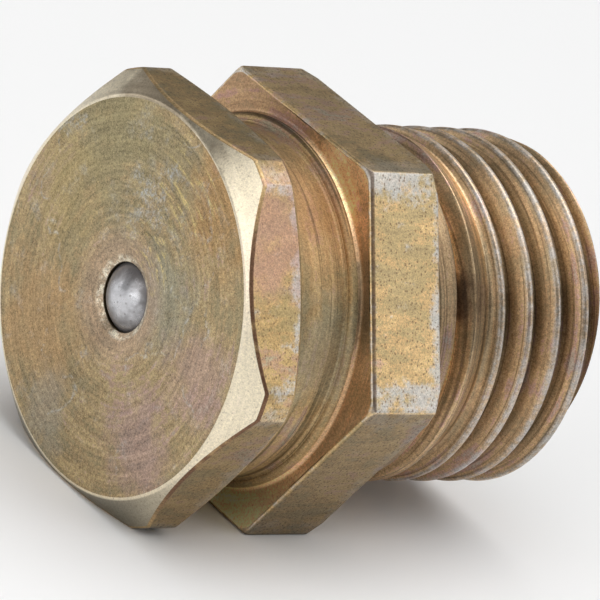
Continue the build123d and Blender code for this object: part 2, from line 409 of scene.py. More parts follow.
def front_rows(angle, sizes, place):
    """Outline from the dish round the head, neck and hexagon to the start of the thread."""
    face_radius = in_mm(sizes.face_diameter) / 2
    neck_radius = in_mm(sizes.neck_diameter) / 2
    flat = in_mm(sizes.across_flats) / 2
    crest = in_mm(sizes.thread_diameter) / 2
    edge = in_mm(sizes.edge_rounding)
    head = head_radius(angle, sizes)
    bar = bar_radius(angle, sizes, 1.2 * edge)

    dish = Line(180 + dish_slope(), 0, DISH_RADIUS)
    face = Line(180, 0, 0)
    front_bevel = Line(180 - FRONT_BEVEL_ANGLE, 0, face_radius)
    head_side = Line(90, 0, head)
    head_back = Line(BACK_BEVEL_ANGLE, in_mm(sizes.head_thickness), flat)
    neck = Line(90, 0, neck_radius)
    line_front = Line(TOOL_LINE_FRONT_ANGLE, SECOND_CUT_FRONT, neck_radius)
    line_foot = neck_radius - 2 * TOOL_LINE_DEPTH
    line_back = Line(TOOL_LINE_BACK_ANGLE, SECOND_CUT_FRONT + TOOL_LINE_DEPTH, line_foot)
    second_cut = Line(90, 0, SECOND_CUT_RADIUS)
    step_wall = Line(180, place.step_front, 0)
    step = Line(90, 0, STEP_RADIUS)
    hexagon_front = Line(180, place.hexagon_front, 0)
    corner_reach = flat / math.cos(HALF_SIDE)
    corner_rise = math.degrees(math.atan2(BROKEN_CORNER_LENGTH, corner_reach - BROKEN_CORNER_RADIUS))
    broken_corner = Line(180 - corner_rise, place.hexagon_front, BROKEN_CORNER_RADIUS)
    hexagon_side = Line(90, 0, bar)
    back_bevel = Line(HEXAGON_BACK_ANGLE, place.seat, BACK_BEVEL_RADIUS)
    seat = Line(0, place.seat, 0)
    land = Line(90, 0, crest)
    relief_wall = Line(0, place.relief_front, 0)
    relief_floor = Line(90, 0, RELIEF_RADIUS)
    rise = Line(180 - FLANK_ANGLE, place.thread_front, crest)

    rows = Outline()
    rows.edge(FACE, dish, face, DISH_EDGE, 4)
    rows.across(FACE, 0, *FACE_ROWS)
    rows.edge(BEVEL, face, front_bevel, FACE_EDGE, 4)
    bevel_foot = crossing(front_bevel, head_side, 0)
    rows.across(BEVEL, 0.5 * bevel_foot[0], 0.5 * (bevel_foot[1] + face_radius))
    head_edge = rounded_edge(front_bevel, head_side, 1.3 * edge, 4)
    rows.points(EDGE, head_edge[:-1])
    rows.points(HEAD_FLAT, head_edge[-1:])
    side_length = crossing(head_side, head_back, 0)[0] - bevel_foot[0]
    rows.along(HEAD_FLAT, head, *(bevel_foot[0] + side_length * share for share in (0.3, 0.6, 0.85)))
    rows.edge(GROOVE, head_side, head_back, edge, 4)
    rows.edge(GROOVE, head_back, neck, NECK_FILLET, 6)
    rows.along(GROOVE, neck_radius, *NECK_ROWS)
    tool_line = (neck, line_front, line_back, second_cut)
    for before, after, rounding in zip(tool_line, tool_line[1:], TOOL_LINE_EDGES):
        rows.edge(GROOVE, before, after, rounding, 2)
    rows.along(GROOVE, SECOND_CUT_RADIUS, *SECOND_CUT_ROWS)
    rows.edge(GROOVE, second_cut, step_wall, SECOND_CUT_FILLET, 4)
    rows.edge(GROOVE, step_wall, step, STEP_EDGE, 8)
    rows.edge(SHOULDER, step, hexagon_front, STEP_FILLET, 4)
    shoulder_width = min(bar, BROKEN_CORNER_RADIUS) - STEP_RADIUS
    shoulder_radii = [STEP_RADIUS + shoulder_width * share for share in (0.25, 0.55, 0.8)]
    rows.across(SHOULDER, place.hexagon_front, *shoulder_radii)
    rows.points(HEXAGON, double_edge(hexagon_front, broken_corner, hexagon_side, 1.1 * edge, 3))
    flat_front = place.hexagon_front + HEXAGON_FRONT_MARGIN
    flat_length = place.seat - HEXAGON_BACK_MARGIN - flat_front
    rows.along(HEXAGON, bar, *(flat_front + flat_length * share for share in (0.3, 0.55, 0.8)))
    rows.points(HEXAGON, double_edge(hexagon_side, back_bevel, seat, 0.9 * edge, 3))
    rows.across(SHANK, place.seat, *SEAT_ROWS)
    rows.edge(SHANK, seat, land, SEAT_FILLET, 3)
    rows.along(SHANK, crest, *(place.seat + share * SHANK_LENGTH for share in (0.2, 0.45, 0.7, 0.88)))
    rows.edge(SHANK, land, relief_wall, RELIEF_EDGE, 3)
    rows.edge(SHANK, relief_wall, relief_floor, RELIEF_FILLET, 4)
    rows.edge(SHANK, relief_floor, rise, RELIEF_FILLET, 4)
    for gap in (0.18, 0.10, 0.05, 0.02):
        station = place.thread_front - gap
        rows.along(SHANK, thread_radius(station, angle, sizes, place), station)
    return rows


def back_rows(angle, sizes, place):
    """Outline from the end bevel round the end, the collar and the bore back to the dish."""
    end_face = Line(0, place.end, 0)
    recess_wall = Line(-90, 0, RECESS_RADIUS)
    recess_floor = Line(0, place.end - RECESS_DEPTH, 0)
    collar = Line(90, 0, COLLAR_RADIUS)
    collar_end = Line(0, place.collar_end, 0)
    hole = Line(-90, 0, HOLE_RADIUS)
    lip_inside = Line(-180, place.lip_inside, 0)
    chamber = Line(-90, 0, CHAMBER_RADIUS)
    rim = Line(-90 - math.degrees(math.atan2(RIM_RADIUS - HOLE_RADIUS, RIM_DEPTH)), DISH_DEPTH, RIM_RADIUS)
    dish = Line(-180 + dish_slope(), 0, DISH_RADIUS)

    rows = Outline()
    for share in (0.12, 0.25, 0.4, 0.55, 0.7, 0.85, 0.95, 1.0):
        station = place.end - END_BEVEL * (1 - share)
        rows.along(SHANK, thread_radius(station, angle, sizes, place), station)
    rows.across(BORE, place.end, *END_ROWS)
    rows.edge(BORE, end_face, recess_wall, RECESS_EDGE, 3)
    rows.across(BORE, place.end - RECESS_DEPTH / 2, RECESS_RADIUS)
    rows.edge(BORE, recess_wall, recess_floor, RECESS_FILLET, 3)
    rows.across(BORE, place.end - RECESS_DEPTH, (RECESS_RADIUS + COLLAR_RADIUS) / 2)
    rows.edge(BORE, recess_floor, collar, RECESS_FILLET, 3)
    rows.edge(BORE, collar, collar_end, COLLAR_ROLL, 6)
    rows.edge(BORE, collar_end, hole, LIP_MOUTH, 3)
    rows.edge(BORE, hole, lip_inside, LIP_EDGE, 2)
    rows.edge(BORE, lip_inside, chamber, LIP_EDGE, 2)
    rows.along(BORE, CHAMBER_RADIUS, *CHAMBER_ROWS, CHAMBER_START)
    rows.along(BORE, HOLE_RADIUS, SEAT_START, DISH_DEPTH + RIM_DEPTH + 0.01)
    rows.edge(FACE, hole, rim, RIM_EDGE, 2)
    rows.edge(FACE, rim, dish, DISH_FILLET, 3)
    return rows


def column_angles():
    """Angles of the mesh columns, close together at the hexagon corners."""
    beside_corner = (0.0, 0.3, 0.62, 1.0, 1.8, 2.6, 3.1, 3.4, 3.68, 3.96, 4.25, 5.0, 6.5, 8.5,
                     11.0, 14.0, 17.5, 21.5, 25.7, 30.0)
    angles = set()
    for corner in range(30, 360, 60):
        for beside in beside_corner:
            angles.add(round(corner - beside, 4) % 360)
            angles.add(round(corner + beside, 4) % 360)
    return [math.radians(angle) for angle in sorted(angles)]


def thread_phases():
    """Places across one pitch of thread where a row of the mesh runs, root in the middle."""
    beside_root = (0.0, 0.035, 0.07, 0.12, 0.19, 0.26, 0.315, 0.355, 0.395, 0.44)
    return sorted({-beside for beside in beside_root} | set(beside_root) | {0.5})


def around_axis(station, radius, angle, place):
    """A point of the body, in metres, with the seat face at the origin."""
    return ((station - place.seat) * MM, radius * math.sin(angle) * MM, radius * math.cos(angle) * MM)


def body_mesh(sizes):
    """Closed mesh of the body: turned outline, hexagons and a true helical thread."""
    place = Stations(sizes)
    pitch = in_mm(sizes.thread_pitch)
    angles = column_angles()
    phases = thread_phases()
    thread_end = place.end - END_BEVEL
    first_turn = math.floor((place.thread_front - ROOT_STATION) / pitch) - 1
    last_turn = math.ceil((thread_end - ROOT_STATION) / pitch) + 2
    helical = [turn + phase for turn in range(first_turn, last_turn + 1) for phase in phases]

    vertices = []
    columns = []
    finishes = None
    for angle in angles:
        front = front_rows(angle, sizes, place)
        back = back_rows(angle, sizes, place)
        turned = (math.degrees(angle) - ROOT_ANGLE) / 360
        thread = []
        previous = None
        for phase in helical:
            station = ROOT_STATION + (phase - turned) * pitch
            station = min(max(station, place.thread_front), thread_end)
            if station != previous:
                thread.append(len(vertices))
                radius = thread_radius(station, angle, sizes, place)
                vertices.append(around_axis(station, radius, angle, place))
                previous = station
            else:
                thread.append(thread[-1])
        rows = []
        for station, radius, _finish in front + back:
            rows.append(len(vertices))
            vertices.append(around_axis(station, radius, angle, place))
        columns.append((rows[:len(front)], thread, rows[len(front):]))
        finishes = [[row[2] for row in part] for part in (front, back)]

    faces = []
    slots = []

    def add_face(corners, finish):
        corners = [corner for number, corner in enumerate(corners) if corner != corners[number - 1]]
        if len(corners) > 2:
            faces.append(corners)
            slots.append(finish)

    shift = len(phases)
    for number, (front, thread, back) in enumerate(columns):
        next_front, next_thread, next_back = columns[(number + 1) % len(columns)]
        if number == len(columns) - 1:
            next_thread = [next_thread[max(row - shift, 0)] for row in range(len(next_thread))]
        here = front + thread + back
        there = next_front + next_thread + next_back
        finish_of = finishes[0] + [SHANK] * len(thread) + finishes[1]
        for row in range(len(here)):
            following = (row + 1) % len(here)
            add_face([here[row], here[following], there[following], there[row]], finish_of[row])
    return vertices, faces, slots


def smooth_shaded(name, vertices, faces):
    """A mesh object whose shading follows its large faces, so that flats stay flat up to their edges."""
    mesh = bpy.data.meshes.new(name)
    mesh.from_pydata(vertices, [], faces)
    mesh.validate()
    normals = [Vector() for _vertex in mesh.vertices]
    for polygon in mesh.polygons:
        weighted = polygon.normal * polygon.area
        for corner in polygon.vertices:
            normals[corner] += weighted
    mesh.shade_smooth()
    mesh.normals_split_custom_set_from_vertices([normal.normalized() for normal in normals])
    piece = bpy.data.objects.new(name, mesh)
    bpy.context.scene.collection.objects.link(piece)
    return piece


# ---------------------------------------------------------------- ball and spring


def ball_mesh(sizes):
    """Closed, finely divided ball on the axis, its crown just in front of the face."""
    place = Stations(sizes)
    radius = in_mm(sizes.ball_diameter) / 2
    centre = radius - BALL_STAND_OUT
    rings, segments = 96, 128
    vertices = [around_axis(centre - radius, 0, 0, place)]
    for ring in range(1, rings):
        polar = math.pi * ring / rings
        station, reach = centre - radius * math.cos(polar), radius * math.sin(polar)
        for segment in range(segments):
            vertices.append(around_axis(station, reach, FULL_TURN * segment / segments, place))
    vertices.append(around_axis(centre + radius, 0, 0, place))
    last = len(vertices) - 1
    faces = []
    for segment in range(segments):
        after = (segment + 1) % segments
        faces.append([0, 1 + after, 1 + segment])
        for ring in range(rings - 2):
            start = 1 + ring * segments
            below = start + segments
            faces.append([start + segment, start + after, below + after, below + segment])
        start = 1 + (rings - 2) * segments
        faces.append([start + segment, start + after, last])
    return vertices, faces


def coil_station(turn, length, closed_pitch):
    """How far along a spring of this length a turn lies, with closed end coils."""
    open_pitch = (length - 2 * SPRING_CLOSED_TURNS * closed_pitch) / SPRING_ACTIVE_TURNS
    front_turns = min(turn, SPRING_CLOSED_TURNS)
    open_turns = min(max(turn - SPRING_CLOSED_TURNS, 0), SPRING_ACTIVE_TURNS)
    back_turns = turn - front_turns - open_turns
    return (front_turns + back_turns) * closed_pitch + open_turns * open_pitch


def spring_mesh(sizes):
    """Coiled wire from the ball to the rolled collar."""
    place = Stations(sizes)
    wire = in_mm(sizes.wire_diameter) / 2
    coil = in_mm(sizes.spring_diameter) / 2 - wire
    ball = in_mm(sizes.ball_diameter) / 2
    front = ball - BALL_STAND_OUT + math.sqrt((ball + wire + SPRING_CLEARANCE) ** 2 - coil ** 2)
    back = place.lip_inside - wire - 2 * SPRING_CLEARANCE
    turns = SPRING_ACTIVE_TURNS + 2 * SPRING_CLOSED_TURNS
    steps_per_turn, sides = 36, 12
    steps = round(turns * steps_per_turn)
    vertices = []
    for step in range(steps + 1):
        turn = turns * step / steps
        angle = FULL_TURN * turn
        station = front + coil_station(turn, back - front, 2 * wire + 2 * SPRING_CLEARANCE)
        for side in range(sides):
            round_wire = FULL_TURN * side / sides
            reach = coil + wire * math.cos(round_wire)
            vertices.append(around_axis(station + wire * math.sin(round_wire), reach, angle, place))
    faces = []
    for step in range(steps):
        for side in range(sides):
            after = (side + 1) % sides
            here, there = step * sides, (step + 1) * sides
            faces.append([here + side, here + after, there + after, there + side])
    faces.append(list(reversed(range(sides))))
    faces.append([steps * sides + side for side in range(sides)])
    return vertices, faces


# ---------------------------------------------------------------- finishes


def tinted(colour, tint):
    """A colour multiplied by another."""
    return tuple(part * share for part, share in zip(colour, tint))


class Finish:
    """A material under construction: adds shader nodes and joins them up, in millimetres from the seat."""

    def __init__(self, name):
        self.material = bpy.data.materials.new(name)
        self.material.use_nodes = True
        self.tree = self.material.node_tree
        self.tree.nodes.clear()
        self.shader = self.add("ShaderNodeBsdfPrincipled")
        output = self.add("ShaderNodeOutputMaterial")
        self.tree.links.new(self.shader.outputs[0], output.inputs[0])
        spaces = self.add("ShaderNodeTexCoord").outputs
        self.place = self.scaled(spaces["Object"], 1 / MM)
        self.x, self.y, self.z = self.add("ShaderNodeSeparateXYZ", self.place).outputs
        across = self.plus(self.times(self.y, self.y), self.times(self.z, self.z))
        self.radius = self.greater(self.math("SQRT", across), 0.01)
        self.round_y = self.math("DIVIDE", self.y, self.radius)
        self.round_z = self.math("DIVIDE", self.z, self.radius)
        self.around = self.math("ARCTAN2", self.y, self.z)
        facing = self.add("ShaderNodeSeparateXYZ", spaces["Normal"]).outputs
        self.endward = self.math("ABSOLUTE", facing[0])
        self.upward = facing[2]
        self.face_skin = self.combined(self.y, self.z, 0.0)
        self.side_skin = self.combined(self.x, self.times(self.around, SIDE_REACH), 0.0)

    def add(self, kind, *values, **settings):
        """Add a node with these settings, its first inputs joined or set."""
        node = self.tree.nodes.new(kind)
        for setting, value in settings.items():
            setattr(node, setting, value)
        for socket, value in zip(node.inputs, values):
            self.feed(socket, value)
        return node

    def feed(self, socket, value):
        """Join a socket to another, or set it to a number or a colour."""
        if isinstance(value, bpy.types.NodeSocket):
            self.tree.links.new(value, socket)
        elif socket.type == "RGBA":
            socket.default_value = (*value, 1.0)
        else:
            socket.default_value = value

    def set(self, socket_name, value):
        self.feed(self.shader.inputs[socket_name], value)

    def math(self, operation, first, second=0.0):
        return self.add("ShaderNodeMath", first, second, operation=operation).outputs[0]

    def plus(self, first, second):
        return self.math("ADD", first, second)

    def times(self, first, second):
        return self.math("MULTIPLY", first, second)

    def greater(self, first, second):
        return self.math("MAXIMUM", first, second)

    def vector(self, operation, *values):
        return self.add("ShaderNodeVectorMath", *values, operation=operation)

    def scaled(self, vector, scale):
        node = self.vector("SCALE", vector)
        self.feed(node.inputs["Scale"], scale)
        return node.outputs[0]

    def combined(self, x, y, z):
        return self.add("ShaderNodeCombineXYZ", x, y, z).outputs[0]

    def noise(self, scale, detail, roughness, seed, vector=None):
        """Noise over the surface, or over another vector."""
        values = (vector or self.place, seed, scale, detail, roughness)
        return self.add("ShaderNodeTexNoise", *values, noise_dimensions="4D").outputs[0]

    def between(self, value, low, high, at_low=0.0, at_high=1.0):
        """Ease from one number to another as a value passes between two limits."""
        values = (value, low, high, at_low, at_high)
        return self.add("ShaderNodeMapRange", *values, interpolation_type="SMOOTHSTEP").outputs[0]

    def swung(self, value, amount):
        """A noise's swing about its middle, made larger or smaller."""
        return self.times(self.math("SUBTRACT", value, 0.5), amount)

    def ramp(self, value, stops):
        """Colours along a value, from (place, colour) stops."""
        node = self.add("ShaderNodeValToRGB", value)
        elements = node.color_ramp.elements
        while len(elements) < len(stops):
            elements.new(0.5)
        for element, (place, colour) in zip(elements, stops):
            element.position = place
            element.color = (*colour, 1.0)
        return node.outputs[0]

    def cover(self, share, colour, tint=(1.0, 1.0, 1.0)):
        """Lay a tinted colour over a share of the surface."""
        node = self.add("ShaderNodeMix", share, data_type="RGBA")
        self.feed(node.inputs[6], self.colour)
        self.feed(node.inputs[7], tinted(colour, tint))
        self.colour = node.outputs[2]

    def shade(self, factor):
        """Multiply the colour by a number."""
        self.colour = self.scaled(self.colour, factor)

    def pits(self, skin, scale, size, share, strength, shift=0.0):
        """Small round pits, in a share of the cells of a random mesh laid over the surface."""
        moved = self.vector("ADD", skin, (shift, shift, 0.0)).outputs[0]
        cells = self.add("ShaderNodeTexVoronoi", moved, voronoi_dimensions="2D")
        self.feed(cells.inputs["Scale"], scale)
        chosen = self.add("ShaderNodeSeparateColor", cells.outputs["Color"]).outputs[0]
        near = self.between(cells.outputs["Distance"], size * 0.4, size, strength, 0.0)
        return self.times(near, self.math("LESS_THAN", chosen, share))

    def patch(self, centre, reach, strength=1.0):
        """A soft, ragged patch round a point, or round the line through it along the axis if its x is 0."""
        offset = self.vector("SUBTRACT", self.place, centre).outputs[0]
        if centre[0] == 0:
            offset = self.vector("MULTIPLY", offset, (0.0, 1.0, 1.0)).outputs[0]
        away = self.vector("LENGTH", offset).outputs["Value"]
        ragged = self.times(self.swung(self.noise(1.2, 4.0, 0.65, 41.0), 2.0), reach)
        return self.between(self.plus(away, ragged), 0.2 * reach, reach, strength, 0.0)

    def smudges(self, scale, seed, strength, start=0.54):
        """Pale, broken smudges."""
        cloud = self.between(self.noise(scale, 4.0, 0.7, seed), start, start + 0.20)
        broken = self.between(self.noise(10.0, 1.0, 0.5, seed + 1), 0.35, 0.65, 0.2, strength)
        return self.times(cloud, broken)

    def scratches(self, scale, seed, strength):
        """Thin, wandering pale lines in some places."""
        wander = self.noise(scale, 2.0, 0.5, seed)
        off_line = self.math("ABSOLUTE", self.math("SUBTRACT", wander, 0.5))
        line = self.between(off_line, 0.0, SCRATCH_WIDTH, strength, 0.0)
        where = self.between(self.noise(scale * 1.6, 1.0, 0.5, seed + 1), 0.5, 0.6)
        broken = self.between(self.noise(9.0, 1.0, 0.5, seed + 2), 0.4, 0.6)
        return self.times(line, self.times(where, broken))

    def painted_underside_shade(self, shade):
        """Painted shade: a tone that falls to this share where the surface faces down."""
        return self.between(self.upward, -0.6, -0.25, shade, 1.0)

    def beside(self):
        """One on surfaces that face sideways and a little up, none on upper and lower ones."""
        above = self.between(self.upward, 0.7, 0.95, 1.0, 0.0)
        return self.times(self.between(self.upward, -0.2, 0.2), above)

    def bump(self, height, depth, strength=1.0):
        """Relief of this depth in millimetres where the height goes from 0 to 1."""
        node = self.add("ShaderNodeBump", strength, depth * MM)
        self.feed(node.inputs["Height"], height)
        self.set("Normal", node.outputs[0])

    def turning_marks(self, along, spacing, seed, arc=1.6):
        """Fine lines round the axis, whose place is a coordinate in millimetres."""
        lines = self.combined(self.times(along, 1 / spacing), self.times(self.round_y, arc),
                              self.times(self.round_z, arc))
        return self.noise(1.0, 3.0, 0.6, seed, lines)


class Plating(Finish):
    """Yellow passivate, whose colour follows its thickness, with fine grain and tool marks."""

    def __init__(self, name, colours, marks, tint, bias=0.0, swing=1.0, grain=0.6):
        super().__init__(name)
        self.colours = colours
        wide_marks, self.marks = marks(self)
        self.grain = self.noise(11.0, 2.0, 0.75, 7.0)
        self.clouds = self.noise(1.3, 3.0, 0.6, 5.0)
        thickness = self.plus(self.swung(self.noise(0.40, 2.0, 0.5, 11.0), swing), 0.5)
        for value, amount in ((self.clouds, 0.7 * swing), (wide_marks, 0.9 * swing), (self.grain, 0.5)):
            thickness = self.plus(thickness, self.swung(value, amount))
        self.tone = self.plus(self.swung(self.grain, 1.6 * grain), 1.0)
        fine = self.noise(26.0, 1.0, 0.5, 27.0)
        for value, amount in ((fine, 2.0 * grain), (self.marks, 1.3 * grain), (wide_marks, 0.6 * grain)):
            self.tone = self.plus(self.tone, self.swung(value, amount))
        stops = [(place, tinted(getattr(colours, name), tint)) for place, name in FILM_STOPS]
        self.colour = self.ramp(self.plus(thickness, bias), stops)

    def patches(self, table):
        """Cover the patches of a table: centre, reach, strength, name of the colour and its tint."""
        for centre, reach, strength, name, tint in table:
            self.cover(self.patch(centre, reach, strength), getattr(self.colours, name), tint)

    def closed(self, roughness, bloom=None, anisotropy=0.0):
        """The material, with its gloss, matt bloom and the fine relief of its marks."""
        self.set("Base Color", self.scaled(self.colour, self.tone))
        self.set("Metallic", self.between(bloom, 0.0, 1.0, 1.0, BLOOM_METAL) if bloom else 1.0)
        self.set("Roughness", self.between(self.clouds, 0.3, 0.7, roughness * 0.9, roughness * 1.12))
        if anisotropy:
            tangent = self.add("ShaderNodeTangent", direction_type="RADIAL", axis="X")
            self.set("Anisotropic", anisotropy)
            self.set("Anisotropic Rotation", 0.25)
            self.set("Tangent", tangent.outputs[0])
        self.bump(self.plus(self.marks, self.times(self.grain, 0.7)), PLATING_RELIEF)
        return self.material


def face_marks(finish):
    """Circles of the facing cut."""
    along = finish.radius
    return finish.turning_marks(along, 0.22, 3.0), finish.turning_marks(along, 0.10, 8.0, 2.2)


def groove_marks(finish):
    """Circles of the grooving tool, on the neck and on the walls beside it."""
    along = finish.plus(finish.x, finish.radius)
    return finish.turning_marks(along, 0.30, 4.0, 0.8), finish.turning_marks(along, 0.11, 9.0, 1.2)


def drawn_marks(finish):
    """Faint long marks of the drawn bar."""
    along = finish.combined(finish.times(finish.x, 0.8), finish.times(finish.y, 3.0),
                            finish.times(finish.z, 3.0))
    return finish.noise(1.0, 2.0, 0.5, 3.0, along), finish.noise(22.0, 2.0, 0.6, 8.0)


def thread_marks(finish):
    """Marks along the helix of the thread."""
    phase = finish.plus(finish.times(finish.x, FULL_TURN), finish.around)
    drift = finish.plus(finish.times(finish.x, 0.6), finish.round_y)

    def marks(reach, seed):
        along = finish.combined(finish.times(finish.math("COSINE", phase), reach),
                                finish.times(finish.math("SINE", phase), reach), drift)
        return finish.noise(1.0, 3.0, 0.6, seed, along)

    finish.lines = marks(3.4, 15.0)
    return marks(1.3, 5.0), marks(2.6, 10.0)


def face_finish(colours):
    """Faced front: patches of colour, a painted highlight of bright dash marks, smudges, scratches, and a
    painted highlight on the pale broken rim round the hole.
    """
    tint = (0.83, 0.81, 0.84)
    plate = Plating("faced_plate", colours, face_marks, tint, bias=-0.08, swing=1.1, grain=0.72)
    plate.patches(FACE_PATCHES)
    plate.cover(plate.between(plate.radius, 1.3, 2.2, 0.5, 0.0), colours.pink, (0.98, 0.98, 1.02))
    # Bright dash marks in two patches on the upper -y part of the face: a painted highlight
    streaks = plate.turning_marks(plate.radius, 0.12, 14.0, 5.0)
    painted_highlight_area = plate.greater(plate.patch((0, -1.4, 3.4), 2.6), plate.patch((0, -0.7, 1.7), 1.5))
    painted_highlight_dashes = plate.times(plate.between(streaks, 0.52, 0.66, 0.0, 0.8), painted_highlight_area)
    plate.cover(painted_highlight_dashes, colours.straw, (1.15, 1.15, 1.0))
    smudge = plate.greater(plate.smudges(1.1, 21.0, 0.45), plate.scratches(0.5, 31.0, 0.45))
    upper_smudge = plate.times(plate.patch((0, -0.2, 3.4), 2.4), plate.smudges(1.4, 57.0, 0.9, 0.46))
    smudge = plate.greater(smudge, upper_smudge)
    plate.cover(smudge, colours.bloom, (0.80, 0.80, 0.78))
    # Pale broken ring on the rim bevel round the hole: a painted highlight
    broken = plate.between(plate.noise(4.0, 3.0, 0.7, 61.0), 0.44, 0.58, 0.1, 0.95)
    plate.cover(plate.times(plate.between(plate.radius, 1.05, 1.20, 1.0, 0.0), broken), colours.cream)
    return plate.closed(0.42, smudge, anisotropy=0.6)


def bevel_finish(colours):
    """Pale, bright front bevel with a few pits, a painted highlight on its upper -y side, and painted shade
    on its top and where it faces down.
    """
    plate = Plating("bevel_plate", colours, face_marks, (1.2, 1.2, 1.2), swing=0.6, grain=0.32)
    plate.cover(0.80, colours.cream, (1.10, 1.09, 1.08))
    plate.cover(plate.pits(plate.face_skin, 5.0, 0.15, 0.5, 0.3), colours.pit)
    # A painted highlight and painted shade
    plate.patches(BEVEL_PAINTED_LIGHT_AND_SHADE_PATCHES)
    # Painted shade where the bevel faces down
    plate.shade(plate.painted_underside_shade(BEVEL_UNDERSIDE_PAINTED_SHADE))
    return plate.closed(0.34, anisotropy=0.3)


def edge_finish(colours):
    """Rounded edge between the bevel and the flats, dark brown on the -y side."""
    plate = Plating("edge_plate", colours, drawn_marks, (1.0, 0.9, 0.85), swing=0.8, grain=0.5)
    dark_brown_band = plate.between(plate.noise(1.4, 3.0, 0.7, 81.0), 0.30, 0.50, 0.35, 0.95)
    dark_brown_band = plate.times(dark_brown_band, plate.between(plate.y, -4.4, -3.3, 1.0, 0.0))
    plate.cover(dark_brown_band, colours.pit, (0.9, 0.75, 0.8))
    return plate.closed(0.45)


def flat_finish(name, colours, tint, ends, painted_underside_shade, turned_corners=False):
    """Spanner flats: dense small pits, a pale bloom along their edges, and painted shade on faces that look
    down and straight up.
    """
    plate = Plating(name, colours, drawn_marks, tint, grain=0.45)
    front, back = ends
    beside_end = plate.greater(plate.between(plate.x, front, front + 0.45, 0.5, 0.0),
                               plate.between(plate.x, back - 0.7, back, 0.0, 1.0))
    beside_corner = plate.between(plate.radius, 5.88, 6.14, 0.0, 1.0)
    if turned_corners:
        beside_corner = plate.times(beside_corner, plate.between(plate.radius, 6.12, 6.16, 1.0, 0.1))
    edge = plate.greater(beside_end, beside_corner)
    worn = plate.noise(1.6, 5.0, 0.75, 17.0)
    bloom = plate.between(plate.plus(worn, plate.times(edge, 0.22)), 0.58, 0.76, 0.0, 0.75)
    bloom = plate.times(bloom, plate.between(plate.beside(), 0.0, 1.0, 0.35, 1.0))
    plate.cover(bloom, colours.bloom)
    pits = plate.greater(plate.pits(plate.side_skin, 5.6, 0.21, 0.6, 0.75),
                         plate.pits(plate.side_skin, 10.0, 0.24, 0.4, 0.6, 3.7))
    pits = plate.times(pits, plate.between(plate.endward, 0.2, 0.5, 1.0, 0.0))
    plate.cover(pits, colours.pit)
    # Painted shade on the faces that look down
    plate.shade(plate.painted_underside_shade(painted_underside_shade))
    # Painted shade on the faces that look straight up
    plate.shade(plate.between(plate.upward, 0.75, 0.97, 1.0, FLAT_TOP_PAINTED_SHADE))
    return plate, bloom


def head_flat_finish(colours):
    """Flats of the head, between its turned corners."""
    tint = (1.10, 0.99, 0.87)
    plate, bloom = flat_finish("head_flat_plate", colours, tint, HEAD_FLAT_ENDS, HEAD_UNDERSIDE_PAINTED_SHADE, True)
    plate.patches(HEAD_PATCHES)
    return plate.closed(0.42, bloom)


def hexagon_finish(colours):
    """Flats of the spanner hexagon, with a painted dark line of shade beside the front edge on one side."""
    tint = (1.31, 1.20, 1.14)
    plate, bloom = flat_finish("hexagon_plate", colours, tint, HEXAGON_ENDS, HEXAGON_UNDERSIDE_PAINTED_SHADE)
    # Painted shade: a dark line beside the front edge, on faces that look sideways toward -y
    line = plate.times(plate.between(plate.x, -2.36, -2.33, 0.0, 1.0),
                       plate.between(plate.x, -2.27, -2.21, 0.8, 0.0))
    line = plate.times(line, plate.times(plate.beside(), plate.between(plate.y, -2.0, 0.0, 1.0, 0.0)))
    broken = plate.between(plate.noise(1.5, 3.0, 0.7, 83.0), 0.3, 0.5, 0.4, 1.0)
    plate.cover(plate.times(line, broken), colours.pit, (0.6, 0.55, 0.6))
    return plate.closed(0.42, bloom)


def groove_finish(colours):
    """Turned neck and step, with dark lines of the grooving tool and painted shade on their top."""
    plate = Plating("groove_plate", colours, groove_marks, (0.86, 0.78, 0.74), swing=1.2, grain=0.55)
    plate.patches(GROOVE_PATCHES)
    along = plate.plus(plate.x, plate.radius)
    line = plate.between(plate.turning_marks(along, 0.17, 91.0, 0.35), 0.36, 0.48, 0.42, 1.06)
    # Dark tool lines, and painted shade on the top
    plate.shade(plate.times(line, plate.between(plate.upward, 0.6, 0.85, 1.0, GROOVE_TOP_PAINTED_SHADE)))
    return plate.closed(0.54, anisotropy=0.4)


def shoulder_finish(colours):
    """Faced front of the spanner hexagon, with painted light low down and round one patch near its top, and
    painted shade on its top and round one patch on the -y side.
    """
    tint = (1.25, 1.05, 1.12)
    plate = Plating("shoulder_plate", colours, face_marks, tint, bias=-0.04, swing=0.9, grain=0.5)
    # Painted light low down, up to 2.3 times, and painted shade on the top
    plate.shade(plate.between(plate.z, -5.5, -1.5, 2.3, 1.0))
    plate.shade(plate.between(plate.z, 3.0, 5.5, 1.0, 0.7))
    # Painted light round one patch near the top, up to 2.3 times
    pale = plate.patch((0, -2.4, 5.3), 2.8)
    plate.shade(plate.plus(plate.times(pale, 1.3), 1.0))
    # Painted shade round one patch on the -y side
    dull = plate.patch((0, -5.3, 2.8), 2.6, 0.45)
    plate.shade(plate.math("SUBTRACT", 1.0, dull))
    return plate.closed(0.46, anisotropy=0.5)


